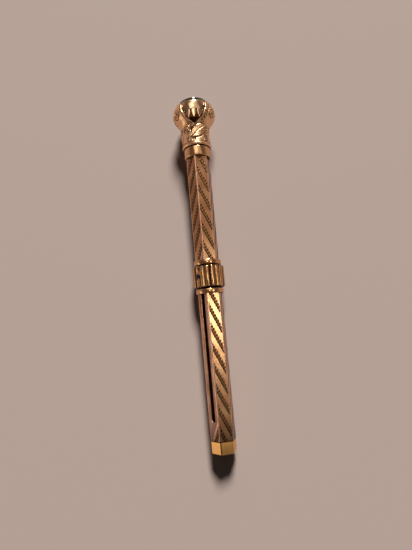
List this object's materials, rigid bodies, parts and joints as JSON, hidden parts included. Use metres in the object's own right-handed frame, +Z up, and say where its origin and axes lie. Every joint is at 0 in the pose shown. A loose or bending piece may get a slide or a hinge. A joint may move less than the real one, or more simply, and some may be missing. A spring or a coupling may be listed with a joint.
{
  "type": "slide mechanical pencil",
  "caption": "Hexagonal engine-turned gold slide pencil: a reeded ring pushes the nozzle out, the nose turns to feed lead, and a petalled seal finial unscrews.",
  "frame": {"origin": "on the pencil's axis, halfway between the mouth and the seal's face", "axes": "+Y along the pencil's axis towards the seal finial, +Z up as the pencil lies, +X to the right seen from the mouth"},
  "size_m": [0.0112, 0.0898, 0.0103],
  "materials": {
    "engraved_gold": "rose gold, engine-turned satin panels with polished corner rails",
    "plain_gold": "yellow rose gold, hand polished with fine wear",
    "chased_gold": "yellow rose gold, cast and chased, dark in the hollows",
    "inner_brass": "turned brass, unpolished",
    "blued_steel": "hardened steel, darkened",
    "graphite": "graphite lead",
    "seal_stone": "dark green hardstone, cut flat and polished"
  },
  "bodies": {
    "case": {"barrel": "engraved_gold", "mouth_band": "plain_gold", "mouth_bush": "inner_brass", "neck_ferrule": "plain_gold", "neck_bush": "inner_brass", "reservoir_floor": "inner_brass"},
    "slide": {"slide_ring": "plain_gold", "slide_sleeve": "plain_gold", "slide_pin": "blued_steel", "carriage": "inner_brass", "drag_spring": "blued_steel", "feed_tube": "plain_gold"},
    "nozzle": {"nose_cone": "plain_gold", "slit_tube": "inner_brass", "retaining_collar": "inner_brass"},
    "feed": {"push_rod": "blued_steel", "feed_follower": "inner_brass", "lead_cup": "inner_brass", "lead": "graphite"},
    "washer": {"finial_washer": "inner_brass"},
    "finial": {"finial_shell": "chased_gold", "finial_stem": "inner_brass", "seal_collet": "plain_gold", "seal_stone": "seal_stone"}
  },
  "joints": [
    {"name": "slide_run", "type": "slide", "parent": "case", "child": "slide", "axis": [0, -1, 0], "range_m": [0, 0.0345]},
    {"name": "nozzle_turn", "type": "hinge", "parent": "slide", "child": "nozzle", "pos_m": [0, -0.03, 0], "axis": [0, -1, 0], "range_deg": [0, 1440]},
    {"name": "lead_feed", "type": "slide", "parent": "nozzle", "child": "feed", "axis": [0, -1, 0], "range_m": [0, 0.006]},
    {"name": "finial_lift", "type": "slide", "parent": "case", "child": "washer", "axis": [0, 1, 0], "range_m": [0, 0.00337]},
    {"name": "finial_turn", "type": "hinge", "parent": "washer", "child": "finial", "pos_m": [0, 0.032, 0], "axis": [0, 1, 0], "range_deg": [0, 1620]}
  ],
  "couplings": [
    {"joint": "nozzle_turn", "follows": "lead_feed", "rad_per_m": 4188.7},
    {"joint": "finial_turn", "follows": "finial_lift", "rad_per_m": 8377.5}
  ]
}
